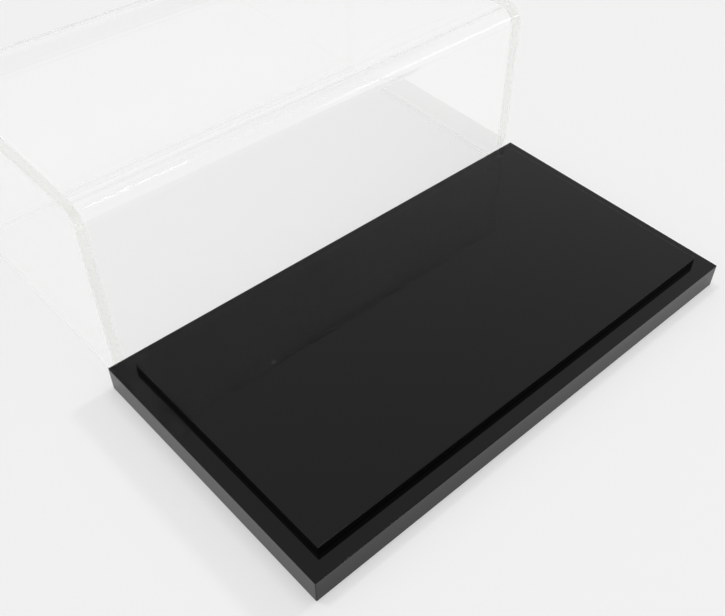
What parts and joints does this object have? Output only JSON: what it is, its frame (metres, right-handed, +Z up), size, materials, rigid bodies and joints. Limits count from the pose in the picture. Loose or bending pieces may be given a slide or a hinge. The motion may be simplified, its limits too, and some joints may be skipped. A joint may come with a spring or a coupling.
{
  "type": "model car display case",
  "caption": "Black two-step acrylic base with a clear bent-acrylic dust cover that lifts off, shown standing behind the base.",
  "frame": {"origin": "middle of the base plate's underside, on the table", "axes": "+X along the case to the right, +Y from the base to the cover standing behind it, +Z up"},
  "size_m": [0.3, 0.32, 0.109],
  "materials": {
    "gloss_black": "black cast acrylic, mirror gloss, polished edges",
    "clear_acrylic": "clear acrylic, polished"
  },
  "bodies": {
    "base": {"base_plate": "gloss_black", "raised_plate": "gloss_black"},
    "cover": {"cover_sheet": "clear_acrylic", "cover_left_end": "clear_acrylic", "cover_right_end": "clear_acrylic"}
  },
  "joints": [
    {"name": "cover_lift", "type": "slide", "parent": "base", "child": "cover", "axis": [0, 0, 1], "range_m": [0, 0.13]}
  ]
}
